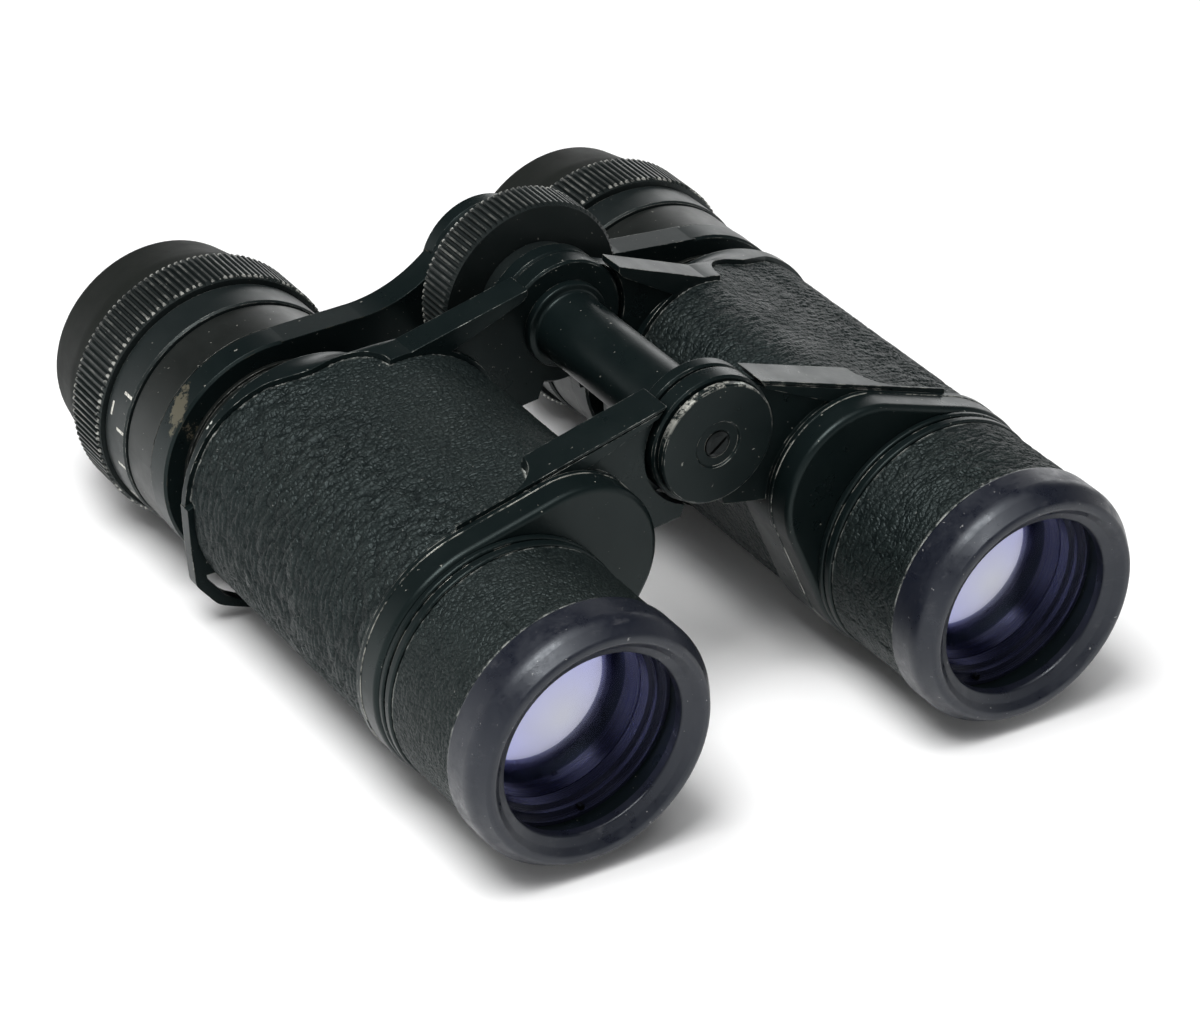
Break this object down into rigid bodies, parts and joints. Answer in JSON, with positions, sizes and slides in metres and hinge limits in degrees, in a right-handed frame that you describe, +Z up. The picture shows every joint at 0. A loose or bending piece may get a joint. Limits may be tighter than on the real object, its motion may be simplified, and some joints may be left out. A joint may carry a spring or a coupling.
{
  "type": "binoculars",
  "caption": "Compact centre-focus binoculars with hinged leather-covered barrels, a knurled focus wheel on a sliding bridge, a dioptre ring and strap lugs.",
  "frame": {"origin": "middle of the footprint, on the surface that the two knurled eyepiece rings rest on", "axes": "+Y along the optical axes from the objectives to the eyepieces, +Z up from the barrels to the hinge, +X towards the user's left barrel"},
  "size_m": [0.108, 0.1208, 0.0549],
  "materials": {
    "black_enamel": "satin black enamel over a light alloy casting, worn bright at the edges",
    "leatherette": "fine pebbled black leatherette, slightly green",
    "black_bumper": "smooth satin black with a violet tint and scuffs",
    "black_anodised": "turned light alloy, black anodised, satin",
    "eyecup_plastic": "hard matte black moulding",
    "coated_glass": "polished glass with a blue-violet coating",
    "optical_glass": "clear polished glass",
    "blackened_steel": "blackened steel screw head",
    "steel": "ground steel, greased"
  },
  "bodies": {
    "right_barrel": {"right_body_casting": "black_enamel", "right_body_leather": "leatherette", "right_strap_lug": "black_enamel", "right_front_cover": "black_enamel", "right_objective_tube": "black_enamel", "right_tube_leather": "leatherette", "right_bumper_ring": "black_bumper", "right_objective_cell": "black_anodised", "right_objective_retainer": "black_anodised", "right_retainer_screw": "black_anodised", "right_front_lens": "coated_glass", "right_second_lens": "coated_glass", "right_prism_cage": "black_anodised", "right_half_penta_prism": "optical_glass", "right_roof_prism": "optical_glass", "right_rear_cover": "black_enamel", "hinge_tube": "black_enamel", "hinge_disc": "black_enamel", "hinge_washer": "black_enamel", "hinge_screw": "blackened_steel", "hinge_axle": "steel"},
    "left_barrel": {"left_body_casting": "black_enamel", "left_body_leather": "leatherette", "left_strap_lug": "black_enamel", "left_front_cover": "black_enamel", "left_objective_tube": "black_enamel", "left_tube_leather": "leatherette", "left_bumper_ring": "black_bumper", "left_objective_cell": "black_anodised", "left_objective_retainer": "black_anodised", "left_retainer_screw": "black_anodised", "left_front_lens": "coated_glass", "left_second_lens": "coated_glass", "left_prism_cage": "black_anodised", "left_half_penta_prism": "optical_glass", "left_roof_prism": "optical_glass", "left_rear_cover": "black_enamel"},
    "focus_wheel": {"focus_wheel": "black_anodised"},
    "right_eyepiece": {"right_bridge_arm": "black_enamel", "right_eyepiece_tube": "black_anodised", "focus_spindle": "steel", "bridge_cap": "black_enamel"},
    "left_eyepiece": {"left_bridge_arm": "black_enamel", "left_eyepiece_tube": "black_anodised", "left_scale_ring": "black_anodised", "left_knurled_ring": "black_anodised", "left_eyecup": "eyecup_plastic", "left_ocular_cell": "black_anodised", "left_field_lens": "optical_glass", "left_eye_lens": "coated_glass"},
    "dioptre_ring": {"right_scale_ring": "black_anodised", "right_knurled_ring": "black_anodised", "right_eyecup": "eyecup_plastic"},
    "right_ocular": {"right_ocular_cell": "black_anodised", "right_field_lens": "optical_glass", "right_eye_lens": "coated_glass"}
  },
  "joints": [
    {"name": "fold", "type": "hinge", "parent": "right_barrel", "child": "left_barrel", "pos_m": [0, 0, 0.04065], "axis": [0, 1, 0], "range_deg": [-14.2, 29.8]},
    {"name": "focus_turn", "type": "hinge", "parent": "right_barrel", "child": "focus_wheel", "pos_m": [0, 0.0166, 0.04065], "axis": [0, 1, 0], "range_deg": [-240, 300]},
    {"name": "right_focus_slide", "type": "slide", "parent": "right_barrel", "child": "right_eyepiece", "axis": [0, 1, 0], "range_m": [-0.0024, 0.003]},
    {"name": "left_focus_slide", "type": "slide", "parent": "left_barrel", "child": "left_eyepiece", "axis": [0, 1, 0], "range_m": [-0.00245, 0.00305]},
    {"name": "dioptre_turn", "type": "hinge", "parent": "right_eyepiece", "child": "dioptre_ring", "pos_m": [-0.03465, 0.0446, 0.01935], "axis": [0, 1, 0], "range_deg": [-60, 60]},
    {"name": "dioptre_slide", "type": "slide", "parent": "right_eyepiece", "child": "right_ocular", "axis": [0, 1, 0], "range_m": [-0.00102, 0.00102]}
  ],
  "couplings": [
    {"joint": "focus_turn", "follows": "right_focus_slide", "rad_per_m": 1745.3},
    {"joint": "left_focus_slide", "follows": "right_focus_slide", "ratio": 1},
    {"joint": "dioptre_slide", "follows": "dioptre_turn", "m_per_rad": 0.000955}
  ]
}
